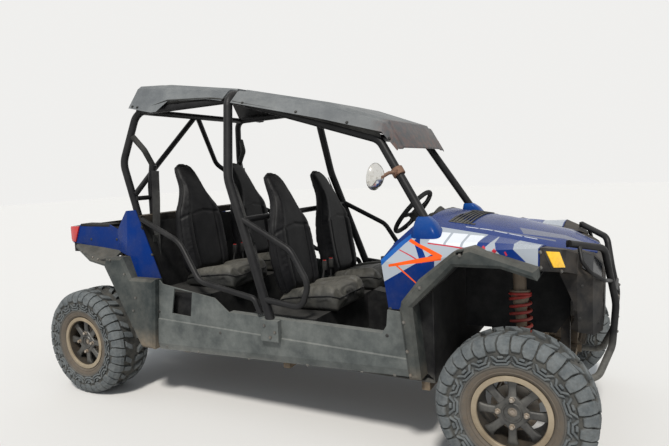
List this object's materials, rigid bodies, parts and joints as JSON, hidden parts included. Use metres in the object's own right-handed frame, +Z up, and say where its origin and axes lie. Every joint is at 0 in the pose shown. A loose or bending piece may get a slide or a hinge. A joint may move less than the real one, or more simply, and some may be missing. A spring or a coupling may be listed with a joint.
{
  "type": "four-seat side-by-side off-road buggy",
  "caption": "Open four-seat off-road buggy with roll cage, roof panels, cargo bed, knobbly tyres, independent suspension and steerable front wheels.",
  "frame": {"origin": "on the ground, midway along and across the vehicle's overall box", "axes": "+X forward, +Y to the driver's left, +Z up"},
  "size_m": [3.3306, 1.537, 1.931],
  "materials": {
    "frame_paint": "satin black paint, dusty",
    "cage_paint": "satin black powder coat",
    "skid": "scuffed black plastic",
    "tub": "textured black plastic",
    "sill": "faded dusty grey plastic",
    "blue_body": "glossy royal blue",
    "flare": "faded grey-black plastic",
    "nose": "dusty black plastic",
    "lamp_lens": "clear lens",
    "red_lens": "red lens",
    "roof": "weathered grey plastic",
    "bed": "textured black plastic",
    "vinyl": "black seat vinyl",
    "rubber_grip": "matt black rubber",
    "casting": "dusty cast metal",
    "engine_metal": "dull cast aluminium",
    "spring_red": "red spring paint",
    "damper": "dusty damper body",
    "steel": "worn steel",
    "rim": "dusty cast alloy",
    "tyre": "dusty black tyre rubber",
    "mirror": "silver mirror head"
  },
  "bodies": {
    "root": {"chassis_frame": "frame_paint", "skid_plate": "skid", "floor_tub": "tub", "sills": "sill", "cage_hoop": "cage_paint", "cage_sides": "cage_paint", "cage_bars": "cage_paint", "hip_bars": "cage_paint", "roof_rear": "roof", "roof_front": "roof", "hood": "blue_body", "front_side_panels": "blue_body", "front_flares": "flare", "rear_side_panels": "blue_body", "rear_flares": "flare", "cargo_bed": "bed", "tail_lamps": "red_lens", "front_fascia": "nose", "lamp_pods": "nose", "front_bumper": "cage_paint", "dashboard": "tub", "steering_column": "steel", "seat_cushions": "vinyl", "seat_backs": "vinyl", "console": "tub", "controls": "steel", "mirror": "mirror", "belt_guides": "rubber_grip", "engine_block": "engine_metal", "front_drive": "casting", "rear_drive": "casting", "muffler": "steel", "radiator": "engine_metal", "front_arms": "frame_paint", "rear_arms": "frame_paint", "shocks": "damper", "springs": "spring_red", "rear_carriers": "casting", "rack_housing": "casting", "headlamps": "lamp_lens", "arch_liners": "tub", "tow_receiver": "frame_paint"},
    "knuckle_right": {"knuckle_right": "casting"},
    "knuckle_left": {"knuckle_left": "casting"},
    "wheel_front_right": {"tyre_front_right": "tyre", "rim_front_right": "rim"},
    "wheel_front_left": {"tyre_front_left": "tyre", "rim_front_left": "rim"},
    "wheel_rear_right": {"tyre_rear_right": "tyre", "rim_rear_right": "rim"},
    "wheel_rear_left": {"tyre_rear_left": "tyre", "rim_rear_left": "rim"},
    "steering_wheel": {"steering_wheel": "rubber_grip"},
    "steering_rack": {"rack_bar": "steel"},
    "tie_rod_right": {"tie_rod_right": "steel"},
    "tie_rod_left": {"tie_rod_left": "steel"}
  },
  "joints": [
    {"name": "steer_right", "type": "hinge", "parent": "root", "child": "knuckle_right", "pos_m": [1.28, -0.614, 0.33], "axis": [0, 0, 1], "range_deg": [-30, 30]},
    {"name": "steer_left", "type": "hinge", "parent": "root", "child": "knuckle_left", "pos_m": [1.28, 0.614, 0.33], "axis": [0, 0, 1], "range_deg": [-31, 31]},
    {"name": "steering_wheel_turn", "type": "hinge", "parent": "root", "child": "steering_wheel", "pos_m": [0.513, 0.268, 1.074], "axis": [-0.7694, 0, 0.6388], "range_deg": [-275, 275]},
    {"name": "rack_slide", "type": "slide", "parent": "root", "child": "steering_rack", "axis": [0, 1, 0], "range_m": [-0.048, 0.048]},
    {"name": "tie_rod_pivot_right", "type": "hinge", "parent": "knuckle_right", "child": "tie_rod_right", "pos_m": [1.19, -0.6, 0.36], "axis": [0, 0, 1], "range_deg": [-31, 31]},
    {"name": "tie_rod_pivot_left", "type": "hinge", "parent": "knuckle_left", "child": "tie_rod_left", "pos_m": [1.19, 0.6, 0.36], "axis": [0, 0, 1], "range_deg": [-31, 31]},
    {"name": "wheel_front_right_spin", "type": "hinge", "parent": "knuckle_right", "child": "wheel_front_right", "pos_m": [1.28, -0.654, 0.33], "axis": [0, 1, 0], "continuous": true},
    {"name": "wheel_front_left_spin", "type": "hinge", "parent": "knuckle_left", "child": "wheel_front_left", "pos_m": [1.28, 0.654, 0.33], "axis": [0, 1, 0], "continuous": true},
    {"name": "wheel_rear_right_spin", "type": "hinge", "parent": "root", "child": "wheel_rear_right", "pos_m": [-1.336, -0.629, 0.33], "axis": [0, 1, 0], "continuous": true},
    {"name": "wheel_rear_left_spin", "type": "hinge", "parent": "root", "child": "wheel_rear_left", "pos_m": [-1.336, 0.629, 0.33], "axis": [0, 1, 0], "continuous": true}
  ],
  "couplings": [
    {"joint": "steer_left", "follows": "steer_right", "ratio": 1},
    {"joint": "steering_wheel_turn", "follows": "steer_right", "ratio": 9},
    {"joint": "rack_slide", "follows": "steer_right", "m_per_rad": -0.086},
    {"joint": "tie_rod_pivot_right", "follows": "steer_right", "ratio": -1},
    {"joint": "tie_rod_pivot_left", "follows": "steer_right", "ratio": -1}
  ]
}
